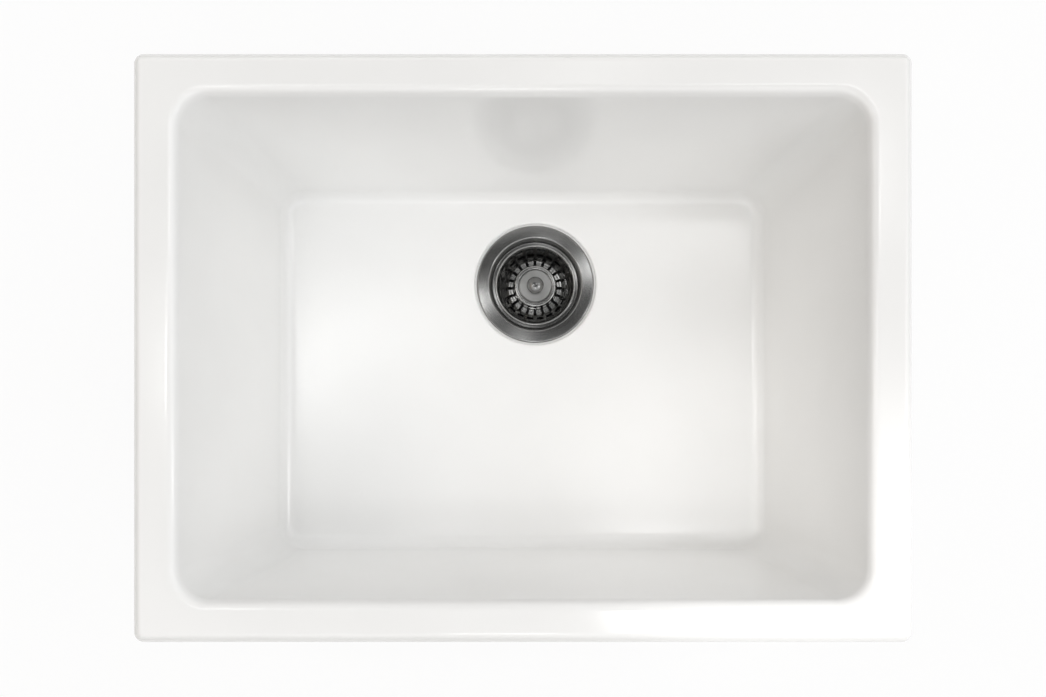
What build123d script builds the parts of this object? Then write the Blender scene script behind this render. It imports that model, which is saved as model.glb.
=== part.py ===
from build123d import *
import os
from math import cos, radians, tan

# Undermount fireclay kitchen sink with its stainless basket strainer, in millimetres.
# The origin is the centre of the rim's flat top, the face that meets the underside of the worktop.
# X runs along the sink to the right, Y runs to the back and Z points up.
# Depths of the strainer's pieces are counted downwards from the flat top of its flange.

# Basin
basin_length = 595.0
basin_width = 450.0
rim_thickness = 24.0
rim_corner_r = 8.0
rim_edge_r = 8.0
rim_under_edge_r = 3.0
rim_root_r = 9.0
end_rim = 33.4
side_rim = 32.3
lip_r = 8.0
end_draft = 9.45
side_draft = 6.4
bowl_corner_r = 24.0
inside_depth = 200.0
floor_rise = 3.0
floor_fillet_r = 12.5
wall = 18.0
floor_thickness = 22.0
foot_r = 24.0

# Waste outlet in the floor
waste_x = 12.0
waste_from_back = 108.2
waste_gap = 0.3
recess_margin = 1.8
recess_lip_r = 2.4
waste_edge_r = 1.5
seat_margin = 2.85
seat_depth = 1.5

# Strainer body, pressed from one sheet
sheet = 1.2
flange_width = 12.15
flange_drop = 0.2
flange_lip = 2.3
flange_edge_r = 1.2
flange_bend_r = 1.5
well_top_r = 45.0
well_slope = 3.4
shelf_depth = 6.9
shelf_width = 4.2
shelf_bend_r = 0.9
cup_depth = 42.7
cup_bend_r = 5.0
outlet_r = 20.0
outlet_bend_r = 1.6
neck_length = 9.4
thread_height = 1.0
thread_start = 12.0
thread_end = 38.5

# Outlet below the cup
spud_thread_r = 23.9
spud_thread_length = 16.0
spud_collar_r = 27.5
spud_collar_height = 6.0
spud_play = 0.05
spud_chamfer = 1.4
cross_height = 4.0
cross_ring = 1.6
cross_arm = 3.0
cross_hub_r = 6.0
cross_hole_r = 3.2

# Rings that seal and clamp the strainer
seal_thickness = 1.6
seal_inset = 1.0
gasket_thickness = 3.0
gasket_bore_gap = 0.6
gasket_lip_gap = 1.0
gasket_lip_height = 3.0
friction_thickness = 1.0
friction_inset = 1.2
thread_play = 0.05
nut_flange_thickness = 3.2
nut_flange_inset = 2.0
nut_height = 13.0
nut_collar = 4.6
lug_count = 8
lug_width = 6.0
lug_height = 9.0

# Basket
basket_sheet = 0.8
bead_r = 1.3
bead_side_gap = 2.1
seat_gap = 0.3
bottom_depth = 23.9
bottom_corner_r = 27.4
bottom_bend_r = 3.5
hub_foot_r = 21.4
hub_top_r = 20.3
hub_depth = 10.3
hub_bend_r = 1.6
dish_r = 16.8
dish_depth = 1.6
dish_bend_r = 0.7
slot_count = 20
slot_width = 2.8
slot_inner_r = 19.6
slot_outer_r = 27.0
window_angle = 12.4
lower_window_top = 13.8
lower_window_bottom = 19.3
upper_window_top = 7.6
upper_window_bottom = 10.4

# Plunger that the knob lifts
stopper_travel = 10.0
stem_r = 3.0
stem_play = 0.06
stem_thread_r = 2.5
stem_thread_play = 0.05
stem_thread_length = 5.0
stem_tail = 2.1
collar_r = 4.6
collar_height = 1.5
cap_r = 15.4
cap_rise = 0.9
cap_sheet = 1.0
cap_edge_r = 0.9
knob_height = 8.2
knob_head_r = 8.2
knob_head_height = 5.2
knob_dome = 3.4
knob_neck_r = 3.9
knob_foot_r = 4.8
travel_gap = 0.6
plate_r = 19.0
plate_thickness = 1.2
stopper_r = 30.0
stopper_body_r = 24.0
stopper_thickness = 4.5
stopper_lip = 2.2
washer_r = 9.0
washer_thickness = 1.2
nut_flats = 10.0
nut_thickness = 5.0

# Guide that the stem runs in, and the ring that holds the plunger up
guide_flange_r = 8.0
guide_flange_thickness = 1.0
guide_r = 5.2
guide_hole_gap = 0.05
guide_bead_r = 5.9
guide_bead_height = 1.4
guide_end_gap = 0.9
ring_wire_r = 0.6
ring_gap_angle = 40.0
ring_groove_gap = 0.15

# Levels and radii that follow from the sizes above
opening_length = basin_length - 2 * end_rim
opening_width = basin_width - 2 * side_rim
waste_y = opening_width / 2 - waste_from_back
flange_r = well_top_r + flange_width
well_bottom_r = well_top_r - well_slope
cup_r = well_bottom_r - shelf_width
bead_outer_r = well_bottom_r - bead_side_gap
flange_z = -inside_depth - flange_drop
recess_depth = flange_drop + sheet + seal_thickness
recess_r = flange_r + recess_margin
waste_hole_r = well_top_r + sheet + waste_gap
basin_bottom_z = -inside_depth - floor_thickness
seat_r = flange_r + seat_margin
underside_depth = flange_z - basin_bottom_z - seat_depth
thread_r = cup_r + sheet + thread_height
neck_end = cup_depth + neck_length
spud_top = cup_depth + sheet
spud_bore_r = outlet_r + sheet + spud_play
cross_top = neck_end + spud_play
cross_bottom = cross_top + cross_height
spud_thread_start = spud_top + spud_collar_height
spud_end = spud_thread_start + spud_thread_length
friction_top = underside_depth + gasket_thickness
nut_top = friction_top + friction_thickness
bead_centre_r = bead_outer_r - bead_r
bead_depth = shelf_depth - seat_gap - bead_r
dish_top = hub_depth + dish_depth
dish_under = dish_top + basket_sheet
cap_top = hub_depth - cap_rise
cap_under = cap_top + cap_sheet
plate_top = bottom_depth + stopper_travel + travel_gap
stopper_top = plate_top + plate_thickness
washer_top = stopper_top + stopper_thickness
stem_nut_top = washer_top + washer_thickness
stem_end = stem_nut_top + nut_thickness + stem_tail
stopper_lip_end = cup_depth - seat_gap
guide_end = plate_top - collar_height - stopper_travel - guide_end_gap
guide_bore_r = stem_r + stem_play
ring_centre_r = guide_bore_r + ring_wire_r
ring_depth = (dish_under + guide_bead_height + guide_end) / 2
ring_groove_r = ring_centre_r + ring_wire_r + ring_groove_gap


def at_waste(shape):
    """Move a piece from the flange's own axis to its place in the floor."""
    return Pos(waste_x, waste_y, flange_z) * shape


def spun(section):
    """Solid of revolution of a section drawn as radius and height."""
    return revolve(Plane.XZ * section, Axis.Z)


def lathe(*points, radii=0):
    """Solid turned from a closed outline of radius and depth pairs, corners rounded by radii."""
    corners = [(radius, -depth) for radius, depth in points]
    rounding = radii if radii else [0] * len(corners)
    return spun(make_face(FilletPolyline(*corners, radius=rounding, close=True)))


def ring(inner_r, outer_r, top, bottom):
    """Plain flat ring between two depths."""
    return lathe((inner_r, top), (outer_r, top), (outer_r, bottom), (inner_r, bottom))


def pressed_section(thickness, points, radii):
    """Section of a sheet of even thickness whose middle line runs through the points."""
    middle = FilletPolyline(*[(radius, -depth) for radius, depth in points], radius=radii)
    return trace(middle, thickness)


def leaning_block(half_length, half_width, corner_r, top_z, bottom_z):
    """Block that narrows downwards at the two drafts; the half sizes are those at the rim's top."""

    def leaning_plate(plane, half_size, draft, depth):
        lean = tan(radians(draft))
        top = half_size + top_z * lean
        low = half_size + bottom_z * lean
        outline = Polyline((top, top_z), (low, bottom_z), (-low, bottom_z), (-top, top_z), close=True)
        return extrude(plane * make_face(outline), depth, both=True)

    ends = leaning_plate(Plane.XZ, half_length, end_draft, basin_width)
    sides = leaning_plate(Plane.YZ, half_width, side_draft, basin_length)
    block = ends & sides
    corners = block.edges().filter_by(lambda edge: abs((edge % 0.5).Z) > 0.5)
    return fillet(corners, corner_r)


def bowl_inside():
    """The space inside the basin: its floor is a very shallow dish that falls to the waste."""
    half_length = opening_length / 2
    space = leaning_block(half_length, opening_width / 2, bowl_corner_r, lip_r, basin_bottom_z)
    dish = (half_length**2 + floor_rise**2) / (2 * floor_rise)
    space = space & Pos(waste_x, waste_y, dish - inside_depth) * Rotation(0, 0, 90) * Sphere(dish)
    floor = space.faces().sort_by(Axis.Z)[0]
    return fillet(floor.outer_wire().edges(), floor_fillet_r)


def make_basin():
    """Fireclay basin: a thick rim over a bowl with walls of even thickness.

    The waste hole has a recess for the flange above and a shallow flat seat for the gasket below.
    """
    rim = extrude(RectangleRounded(basin_length, basin_width, rim_corner_r), -rim_thickness)
    rim = fillet(rim.edges().group_by(Axis.Z)[-1], rim_edge_r - 0.01)
    rim = fillet(rim.edges().group_by(Axis.Z)[0], rim_under_edge_r)
    outside = leaning_block(
        opening_length / 2 + wall / cos(radians(end_draft)),
        opening_width / 2 + wall / cos(radians(side_draft)),
        bowl_corner_r + wall,
        -rim_thickness / 2,
        basin_bottom_z,
    )
    outside = fillet(outside.edges().group_by(Axis.Z)[0], foot_r)
    body = rim + outside
    under_rim = body.edges().filter_by(
        lambda edge: abs(edge.center().Z + rim_thickness) < 0.01
        and abs((edge @ 0.5).X) < basin_length / 2 - 2 * rim_under_edge_r
        and abs((edge @ 0.5).Y) < basin_width / 2 - 2 * rim_under_edge_r
    )
    body = fillet(under_rim, rim_root_r)
    body = body - bowl_inside()
    top_face = body.faces().filter_by(Plane.XY).sort_by(Axis.Z)[-1]
    lip_edges = [edge for wire in top_face.inner_wires() for edge in wire.edges()]
    body = fillet(lip_edges, lip_r)
    recess = Pos(waste_x, waste_y, -inside_depth - recess_depth) * Cylinder(
        recess_r, 2 * recess_depth, align=(Align.CENTER, Align.CENTER, Align.MIN)
    )
    body = body - recess
    recess_rim = body.edges().filter_by(GeomType.CIRCLE).filter_by(
        lambda edge: abs(edge.radius - recess_r) < 0.01 and edge.center().Z > -inside_depth - 0.5
    )
    body = fillet(recess_rim, recess_lip_r)
    body = body - Pos(waste_x, waste_y, basin_bottom_z) * Cylinder(seat_r, 2 * seat_depth)
    body = body - Pos(waste_x, waste_y, -inside_depth) * Cylinder(waste_hole_r, 3 * floor_thickness)
    hole_rims = body.edges().filter_by(GeomType.CIRCLE).filter_by(
        lambda edge: abs(edge.radius - waste_hole_r) < 0.01
    )
    return fillet(hole_rims, waste_edge_r)


def make_strainer_body():
    """Pressed flange, stepped well and deep cup, with the rolled thread that the locknut runs on."""
    half = sheet / 2
    section = pressed_section(
        sheet,
        [
            (flange_r - half, flange_lip),
            (flange_r - half, half),
            (well_top_r + half, half),
            (well_bottom_r + half, shelf_depth + half),
            (cup_r + half, shelf_depth + half),
            (cup_r + half, cup_depth + half),
            (outlet_r + half, cup_depth + half),
            (outlet_r + half, neck_end),
        ],
        [flange_edge_r, flange_bend_r, flange_bend_r, shelf_bend_r, cup_bend_r, outlet_bend_r],
    )
    thread = lathe(
        (cup_r + half, thread_start),
        (cup_r + sheet, thread_start),
        (thread_r, thread_start + thread_height),
        (thread_r, thread_end - thread_height),
        (cup_r + sheet, thread_end),
        (cup_r + half, thread_end),
    )
    return spun(section) + thread


def make_outlet_spud():
    """Threaded outlet brazed under the cup: collar, thread and a shoulder that carries the cross."""
    return lathe(
        (spud_bore_r + spud_chamfer, spud_top),
        (spud_collar_r, spud_top),
        (spud_collar_r, spud_thread_start),
        (spud_thread_r, spud_thread_start),
        (spud_thread_r, spud_end - 1.0),
        (spud_thread_r - 1.0, spud_end),
        (outlet_r, spud_end),
        (outlet_r, cross_bottom),
        (spud_bore_r, cross_bottom),
        (spud_bore_r, spud_top + spud_chamfer),
    )


def make_outlet_cross():
    """Cross that stops cutlery in the outlet: a ring, two bars and a pierced hub."""
    outer_r = spud_bore_r - spud_play
    hoop = ring(outer_r - cross_ring, outer_r, cross_top, cross_bottom)
    span = 2 * outer_r - cross_ring
    mid_depth = (cross_top + cross_bottom) / 2
    bars = Box(span, cross_arm, cross_height) + Box(cross_arm, span, cross_height)
    hub = Cylinder(cross_hub_r, cross_height)
    hole = Cylinder(cross_hole_r, 2 * cross_height)
    return hoop + Pos(0, 0, -mid_depth) * (bars + hub - hole)


def make_flange_seal():
    """Soft ring in the recess under the flange."""
    top = sheet
    return ring(waste_hole_r + waste_edge_r, flange_r - sheet - seal_inset, top, top + seal_thickness)


def make_under_gasket():
    """Rubber ring under the basin, with a lip that centres it in the hole."""
    bore_r = thread_r + gasket_bore_gap
    lip_outer_r = waste_hole_r - gasket_lip_gap
    lip_top = underside_depth - gasket_lip_height
    return lathe(
        (bore_r, lip_top),
        (lip_outer_r - gasket_lip_gap, lip_top),
        (lip_outer_r, underside_depth),
        (flange_r, underside_depth),
        (flange_r, friction_top),
        (bore_r, friction_top),
    )


def make_friction_ring():
    """Thin fibre ring that lets the locknut slide as it tightens."""
    return ring(thread_r + gasket_bore_gap, flange_r - friction_inset, friction_top, nut_top)


def make_locknut():
    """Large ring nut: a flat flange, a threaded collar and lugs that a wrench or a tap turns."""
    bore_r = thread_r + thread_play
    collar_outer_r = bore_r + nut_collar
    flange_outer_r = flange_r - nut_flange_inset
    body = lathe(
        (bore_r, nut_top),
        (flange_outer_r, nut_top),
        (flange_outer_r, nut_top + nut_flange_thickness),
        (collar_outer_r, nut_top + nut_flange_thickness),
        (collar_outer_r, nut_top + nut_height),
        (bore_r, nut_top + nut_height),
        radii=[0, 1.0, 1.0, 1.5, 1.0, 0],
    )
    reach = flange_outer_r - collar_outer_r
    profile = Polyline(
        (collar_outer_r - nut_collar / 2, -nut_top - nut_flange_thickness / 2),
        (flange_outer_r, -nut_top - nut_flange_thickness / 2),
        (flange_outer_r, -nut_top - lug_height * 0.7),
        (flange_outer_r - reach * 0.35, -nut_top - lug_height),
        (collar_outer_r - nut_collar / 2, -nut_top - lug_height),
        close=True,
    )
    lug = extrude(Plane.XZ * make_face(profile), lug_width / 2, both=True)
    lug = fillet(lug.edges().filter_by(Axis.Z).sort_by(Axis.X)[-2:], lug_width / 4)
    lugs = PolarLocations(0, lug_count)
    return body + [place * lug for place in lugs]


def window_cutter(top, bottom, inner_r, outer_r):
    """Wedge that pierces the basket's wall between two depths, as wide as the window's angle."""
    half = radians(window_angle / 2)
    outline = Polyline(
        (inner_r, -inner_r * tan(half)),
        (outer_r, -outer_r * tan(half)),
        (outer_r, outer_r * tan(half)),
        (inner_r, inner_r * tan(half)),
        close=True,
    )
    return Pos(0, 0, -bottom) * extrude(make_face(outline), bottom - top)


def make_basket_cup():
    """Drawn basket: rolled rim, two rows of windows in its wall and slots that run up the raised hub."""
    half = basket_sheet / 2
    wall_top_r = bead_centre_r - bead_r
    section = pressed_section(
        basket_sheet,
        [
            (bead_centre_r, bead_depth),
            (wall_top_r, bead_depth),
            (bottom_corner_r, bottom_depth - half),
            (hub_foot_r, bottom_depth - half),
            (hub_top_r, hub_depth + half),
            (dish_r, hub_depth + half),
            (dish_r, dish_top + half),
            (guide_r + guide_hole_gap, dish_top + half),
        ],
        [half, bottom_bend_r, hub_bend_r, hub_bend_r, dish_bend_r, dish_bend_r],
    )
    bead = Pos(bead_centre_r, -bead_depth) * Circle(bead_r)
    cup = spun(section + bead)
    slot = Pos((slot_inner_r + slot_outer_r) / 2, 0, -bottom_depth) * Box(
        slot_outer_r - slot_inner_r,
        slot_width,
        2 * (bottom_depth - hub_depth + basket_sheet),
    )
    lower = window_cutter(lower_window_top, lower_window_bottom, hub_foot_r + 2, bead_outer_r)
    upper = window_cutter(upper_window_top, upper_window_bottom, hub_foot_r + 2, bead_outer_r + bead_r)
    half_pitch = 180 / slot_count
    cutters = [place * slot for place in PolarLocations(0, slot_count)]
    for place in PolarLocations(0, slot_count, start_angle=half_pitch):
        cutters.append(place * lower)
        cutters.append(place * upper)
    return cup - cutters


def make_stem_guide():
    """Bush clipped in the hub: flange above the sheet, bead below it and a groove for the ring."""
    groove_half = ring_wire_r + ring_groove_gap
    groove_in_r = guide_bore_r
    return lathe(
        (guide_bore_r, dish_top - guide_flange_thickness),
        (guide_flange_r, dish_top - guide_flange_thickness),
        (guide_flange_r, dish_top),
        (guide_r, dish_top),
        (guide_r, dish_under + guide_hole_gap),
        (guide_bead_r, dish_under + guide_hole_gap),
        (guide_r, dish_under + guide_bead_height),
        (guide_r, guide_end),
        (groove_in_r, guide_end),
        (groove_in_r, ring_depth + groove_half),
        (ring_groove_r, ring_depth + groove_half),
        (ring_groove_r, ring_depth - groove_half),
        (groove_in_r, ring_depth - groove_half),
    )


def make_detent_ring():
    """Split wire ring in the guide that grips the stem, so the knob stays where it is left."""
    wire = Plane.XZ * (Pos(ring_centre_r, -ring_depth) * Circle(ring_wire_r))
    return revolve(wire, Axis.Z, 360 - ring_gap_angle)


def make_hub_cap():
    """Round cap under the knob: a pressed disc with a turned-down edge that rests in the hub's dish."""
    skirt_end = dish_top - seat_gap
    return lathe(
        (stem_thread_r + stem_thread_play, cap_top),
        (cap_r, cap_top),
        (cap_r, skirt_end),
        (cap_r - cap_sheet, skirt_end),
        (cap_r - cap_sheet, cap_under),
        (stem_thread_r + stem_thread_play, cap_under),
        radii=[0, cap_edge_r, 0, 0, 0, 0],
    )


def make_knob():
    """Mushroom knob: waisted foot, domed head with a soft edge and a blind thread for the stem."""
    top = cap_top - knob_height
    head_low = top + knob_head_height
    neck_depth = (cap_top + head_low) / 2
    dome_r = (knob_head_r**2 + knob_dome**2) / (2 * knob_dome)
    dome_middle = top + dome_r - (dome_r**2 - knob_head_r**2 / 4) ** 0.5
    outline = [
        Line((0, -top), (0, -cap_top)),
        Line((0, -cap_top), (knob_foot_r, -cap_top)),
        ThreePointArc((knob_foot_r, -cap_top), (knob_neck_r, -neck_depth), (knob_foot_r, -head_low)),
        Line((knob_foot_r, -head_low), (knob_head_r, -head_low)),
        Line((knob_head_r, -head_low), (knob_head_r, -top - knob_dome)),
        ThreePointArc((knob_head_r, -top - knob_dome), (knob_head_r / 2, -dome_middle), (0, -top)),
    ]
    section = make_face(outline)
    edge = section.vertices().filter_by(lambda vertex: vertex.X > knob_head_r - 0.01)
    section = fillet(edge, (knob_head_height - knob_dome) * 0.45)
    socket_depth = stem_thread_length + stem_thread_play
    socket = Pos(0, 0, -cap_top) * Cylinder(
        stem_thread_r + stem_thread_play, socket_depth, align=(Align.CENTER, Align.CENTER, Align.MIN)
    )
    return spun(section) - socket


def make_stem():
    """Turned stem: thread for the knob, shoulder under the cap and a collar over the stopper."""
    collar_top = plate_top - collar_height
    return lathe(
        (0, cap_top - stem_thread_length),
        (stem_thread_r, cap_top - stem_thread_length),
        (stem_thread_r, cap_under),
        (stem_r, cap_under),
        (stem_r, collar_top),
        (collar_r, collar_top),
        (collar_r, plate_top),
        (stem_r, plate_top),
        (stem_r, stem_end - 0.6),
        (stem_r - 0.6, stem_end),
        (0, stem_end),
    )


def make_stopper_plate():
    """Round steel plate that backs the rubber stopper."""
    return lathe(
        (stem_r + stem_thread_play, plate_top),
        (plate_r, plate_top),
        (plate_r, stopper_top),
        (stem_r + stem_thread_play, stopper_top),
        radii=[0, plate_thickness / 2, 0, 0],
    )


def make_stopper():
    """Rubber stopper whose flared lip closes the cup round the outlet."""
    bore_r = stem_r + stem_thread_play
    return lathe(
        (bore_r, stopper_top),
        (stopper_body_r, stopper_top),
        (stopper_r, stopper_lip_end - stopper_lip),
        (stopper_r, stopper_lip_end),
        (stopper_r - stopper_lip, stopper_lip_end),
        (stopper_body_r - stopper_lip, washer_top),
        (bore_r, washer_top),
        radii=[0, 1.5, 0.6, 0.5, 0, 1.0, 0],
    )


def make_stopper_washer():
    """Flat washer under the stopper."""
    return ring(stem_r + stem_thread_play, washer_r, washer_top, stem_nut_top)


def make_stem_nut():
    """Hexagon nut that holds the stopper on the stem."""
    hexagon = RegularPolygon(nut_flats / 2, 6, major_radius=False)
    nut = extrude(hexagon - Circle(stem_r + stem_thread_play), -nut_thickness)
    return Pos(0, 0, -stem_nut_top) * nut


pieces = {
    "basin": make_basin(),
    "strainer_body": at_waste(make_strainer_body()),
    "flange_seal": at_waste(make_flange_seal()),
    "under_gasket": at_waste(make_under_gasket()),
    "friction_ring": at_waste(make_friction_ring()),
    "locknut": at_waste(make_locknut()),
    "outlet_spud": at_waste(make_outlet_spud()),
    "outlet_cross": at_waste(make_outlet_cross()),
    "basket_cup": at_waste(make_basket_cup()),
    "stem_guide": at_waste(make_stem_guide()),
    "detent_ring": at_waste(make_detent_ring()),
    "hub_cap": at_waste(make_hub_cap()),
    "knob": at_waste(make_knob()),
    "stem": at_waste(make_stem()),
    "stopper_plate": at_waste(make_stopper_plate()),
    "stopper": at_waste(make_stopper()),
    "stopper_washer": at_waste(make_stopper_washer()),
    "stem_nut": at_waste(make_stem_nut()),
}

os.makedirs("parts", exist_ok=True)
for name, piece in pieces.items():
    export_step(piece, f"parts/{name}.step")
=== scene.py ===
"""Finish of an undermount fireclay sink with its basket strainer, around the sink's fixed frame."""

from cmath import phase, rect
from math import asin, atan, atan2, ceil, copysign, cos, hypot, pi, radians, remainder, sin, sqrt, tan, tau

import bmesh
import bpy
from bpy.props import FloatProperty, FloatVectorProperty, PointerProperty
from bpy.types import Operator, Panel, PropertyGroup
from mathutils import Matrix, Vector


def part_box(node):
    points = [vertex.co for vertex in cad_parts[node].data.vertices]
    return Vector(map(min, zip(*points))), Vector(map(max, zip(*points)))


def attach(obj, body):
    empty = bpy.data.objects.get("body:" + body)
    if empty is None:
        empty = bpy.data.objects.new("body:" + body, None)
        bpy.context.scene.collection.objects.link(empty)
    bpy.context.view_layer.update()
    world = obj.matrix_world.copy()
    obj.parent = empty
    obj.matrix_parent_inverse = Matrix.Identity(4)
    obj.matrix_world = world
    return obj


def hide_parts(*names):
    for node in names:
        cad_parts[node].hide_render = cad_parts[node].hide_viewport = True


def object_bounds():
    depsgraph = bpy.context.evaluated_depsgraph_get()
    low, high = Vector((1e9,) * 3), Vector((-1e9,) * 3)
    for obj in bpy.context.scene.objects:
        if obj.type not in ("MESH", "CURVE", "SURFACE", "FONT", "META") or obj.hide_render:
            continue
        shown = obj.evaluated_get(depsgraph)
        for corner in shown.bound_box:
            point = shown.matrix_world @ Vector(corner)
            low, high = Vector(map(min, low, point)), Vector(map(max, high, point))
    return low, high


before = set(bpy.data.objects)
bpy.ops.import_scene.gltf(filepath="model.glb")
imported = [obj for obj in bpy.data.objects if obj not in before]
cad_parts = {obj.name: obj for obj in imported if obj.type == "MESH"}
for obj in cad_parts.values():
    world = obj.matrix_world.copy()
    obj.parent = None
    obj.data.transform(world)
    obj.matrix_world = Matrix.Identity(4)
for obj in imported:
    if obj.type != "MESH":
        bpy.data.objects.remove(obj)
cad_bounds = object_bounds()

bl_info = {
    "name": "Fireclay Sink Finish",
    "version": (1, 0, 0),
    "blender": (4, 5, 0),
    "location": "View3D > Sidebar > Sink",
    "description": "Glaze, steel, rubber and brass of an undermount sink and its strainer",
    "category": "Object",
}

MM = 0.001
# Steps round a turned piece.
STEPS = 144
# One turn of a thread: shares of the pitch and of the height. Both ends fade over a share of the pitch.
THREAD_FORM = ((0.18, 0), (0.42, 1), (0.58, 1), (0.82, 0))
THREAD_FADE = 0.8
# Radius of an edge that is only eased.
EASED = 0.3 * MM
# Shares of the way along a face at which rows of the basin's mesh stand.
WALL_ROWS = (0.015, 0.25, 0.5, 0.75, 0.985)
OUTER_ROWS = (0.015, 0.35, 0.65, 0.985)
LEDGE_ROWS = (0.08, 0.92)
RIM_ROWS = (0.05, 0.95, 1.0)
FLOOR_ROWS = (0.012, 0.1, 0.2, 0.3, 0.4, 0.5, 0.6, 0.7, 0.8, 0.9, 0.985)
UNDER_ROWS = (0.85, 0.6, 0.3, 0.02)
# How much the sky brightens towards the right and the back.
TO_RIGHT = 0.135
TO_BACK = 0.06
# Cosines of the angles from the mirrored view over which the dark patch and the banks come in.
PATCH = (0.83, 0.935)
INNER = (0.925, 0.955)
BANK_SHARPNESS = 40.0
SHORT_SHARE = 0.35

# The rim is as large as the basin's box, and the waste stands where the strainer's body does.
basin_low, basin_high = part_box("basin")
body_low, body_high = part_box("strainer_body")
WASTE = Vector(((body_low.x + body_high.x) / 2, (body_low.y + body_high.y) / 2, body_high.z))


def length(name, description, default):
    """A length that the user can change, given here in millimetres."""
    return FloatProperty(name=name, description=description, default=default * MM, unit="LENGTH", precision=5)


def angle(name, description, default):
    """An angle that the user can change."""
    return FloatProperty(name=name, description=description, default=radians(default), subtype="ANGLE")


def colour(name, description, default):
    """A colour that the user can change."""
    return FloatVectorProperty(name=name, description=description, default=default, subtype="COLOR")


def amount(name, description, default):
    """A plain number that the user can change."""
    return FloatProperty(name=name, description=description, default=default, precision=3)


class SinkBasinSizes(PropertyGroup):
    """Sizes of the fireclay basin."""

    rim_thickness: length("Rim thickness", "Height of the rim's side", 24)
    rim_corner: length("Rim corner", "Radius of the rim's corners in plan", 8)
    rim_edge: length("Rim edge", "Radius between the rim's top and side", 8)
    under_edge: length("Under edge", "Radius between the rim's side and underside", 3)
    root: length("Root", "Radius where the wall meets the rim's underside", 9)
    opening_x: length("Opening length", "Length of the opening in the rim's plane", 528.2)
    opening_y: length("Opening width", "Width of the opening in the rim's plane", 385.4)
    lip: length("Lip", "Radius between the rim's top and the wall", 8)
    end_draft: angle("End draft", "Lean of the end walls", 9.45)
    side_draft: angle("Side draft", "Lean of the front and back walls", 6.4)
    corner: length("Bowl corner", "Radius between two walls", 24)
    depth: length("Depth", "Depth of the bowl at the waste", 200)
    floor_rise: length("Floor rise", "How far the floor rises over half the opening's length", 3)
    floor_fillet: length("Floor fillet", "Radius between the walls and the floor", 12.5)
    wall: length("Wall", "Thickness of the walls", 18)
    foot: length("Foot", "Radius between the walls and the underside", 24)
    recess: length("Recess", "Radius of the flange's recess", 58.95)
    recess_lip: length("Recess lip", "Radius of the recess's upper edge", 2.4)
    recess_depth: length("Recess depth", "Depth of the recess below the floor", 3)
    hole: length("Hole", "Radius of the waste hole", 46.5)
    hole_edge: length("Hole edge", "Radius of the hole's edges", 1.5)
    seat: length("Gasket seat", "Radius of the gasket's seat in the underside", 60)
    seat_depth: length("Gasket seat depth", "Depth of the gasket's seat", 1.5)
    spread: amount("Spread", "How evenly the mesh's columns stand round the waste, from 0 to 1", 0.2)


class SinkStrainerSizes(PropertyGroup):
    """Radii of the strainer and its outlet, and depths that count down from the flange's flat top."""

    sheet: length("Sheet", "Thickness of the pressed sheet", 1.2)
    flange: length("Flange", "Radius of the flange", 57.15)
    flange_lip: length("Flange lip", "Depth of the flange's turned-down edge", 2.3)
    flange_edge: length("Flange edge", "Bend between the flange and its turned-down edge", 1.2)
    flange_bend: length("Flange bend", "Bends at both ends of the well's slope", 1.5)
    well_top: length("Well top", "Radius of the well at the flange", 45)
    well_bottom: length("Well bottom", "Radius of the well at the shelf", 41.6)
    shelf: length("Shelf", "Depth of the shelf that carries the basket", 6.9)
    shelf_bend: length("Shelf bend", "Bend between the shelf and the cup", 0.9)
    cup: length("Cup", "Radius of the cup", 37.4)
    cup_floor: length("Cup floor", "Depth of the cup's floor", 42.7)
    cup_bend: length("Cup bend", "Bend between the cup's wall and floor", 5)
    outlet: length("Outlet", "Radius of the outlet", 20)
    outlet_bend: length("Outlet bend", "Bend between the cup's floor and the outlet", 1.6)
    neck_end: length("Neck end", "Depth of the outlet's end", 52.1)
    thread_start: length("Thread start", "Depth where the thread for the ring nut starts", 12)
    thread_end: length("Thread end", "Depth where the thread for the ring nut ends", 38.2)
    thread_height: length("Thread height", "Height of the threads", 1)
    thread_pitch: length("Thread pitch", "Pitch of the thread for the ring nut", 2)
    spud_top: length("Spud top", "Depth where the outlet piece starts", 43.9)
    spud_collar: length("Spud collar", "Radius of the outlet piece's collar", 27.5)
    spud_shoulder: length("Spud shoulder", "Depth where the collar ends", 49.9)
    spud_thread: length("Spud thread", "Radius of the outlet's thread", 23.9)
    spud_end: length("Spud end", "Depth of the outlet piece's end", 65.9)
    spud_bore: length("Spud bore", "Radius of the bore round the neck", 21.25)
    spud_chamfer: length("Spud chamfer", "Chamfer that clears the neck's bend", 1.4)
    spud_step: length("Spud step", "Depth of the step that carries the cross", 56.15)
    spud_pitch: length("Spud pitch", "Pitch of the outlet's thread", 2.209)


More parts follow.
